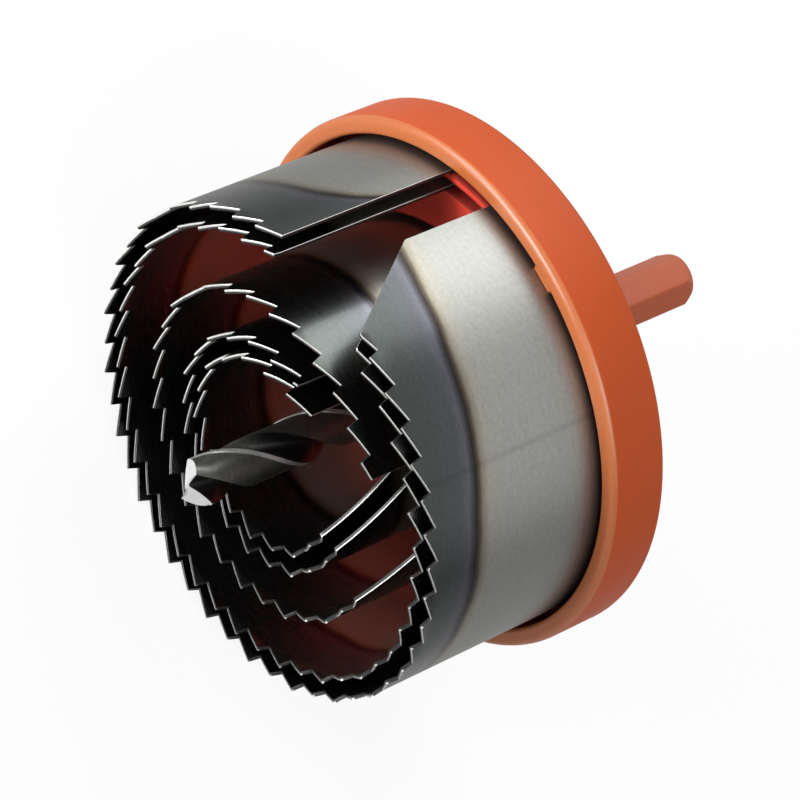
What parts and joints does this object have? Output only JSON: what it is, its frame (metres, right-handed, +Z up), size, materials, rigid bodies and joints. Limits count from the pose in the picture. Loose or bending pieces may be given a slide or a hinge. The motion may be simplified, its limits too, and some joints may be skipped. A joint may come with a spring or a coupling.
{
  "type": "hole saw",
  "caption": "Hole saw with nested open ring blades in a grooved round holder, a pilot twist drill in the middle and a hex shank behind.",
  "frame": {"origin": "floor point under the middle of the tool's length, as it lies on its rim and the teeth of its largest blade", "axes": "+Z up; the shank end points to +Y and 6.5 degrees up, the teeth to -Y and down; +X to the right when seen from the teeth with +Z up"},
  "size_m": [0.068, 0.0776, 0.0683],
  "materials": {
    "orange_paint": "satin orange enamel on a cast holder",
    "shank_paint": "satin orange enamel on the shank",
    "drill_steel": "ground steel",
    "screw_steel": "black oxide",
    "blade_steel": "strip steel with a heat-tinted toothed edge"
  },
  "bodies": {
    "root": {"holder": "orange_paint", "arbor": "shank_paint", "pilot_drill": "drill_steel", "set_screw": "screw_steel", "blade_62": "blade_steel", "blade_57": "blade_steel", "blade_42": "blade_steel", "blade_30": "blade_steel", "blade_25": "blade_steel"}
  },
  "joints": []
}
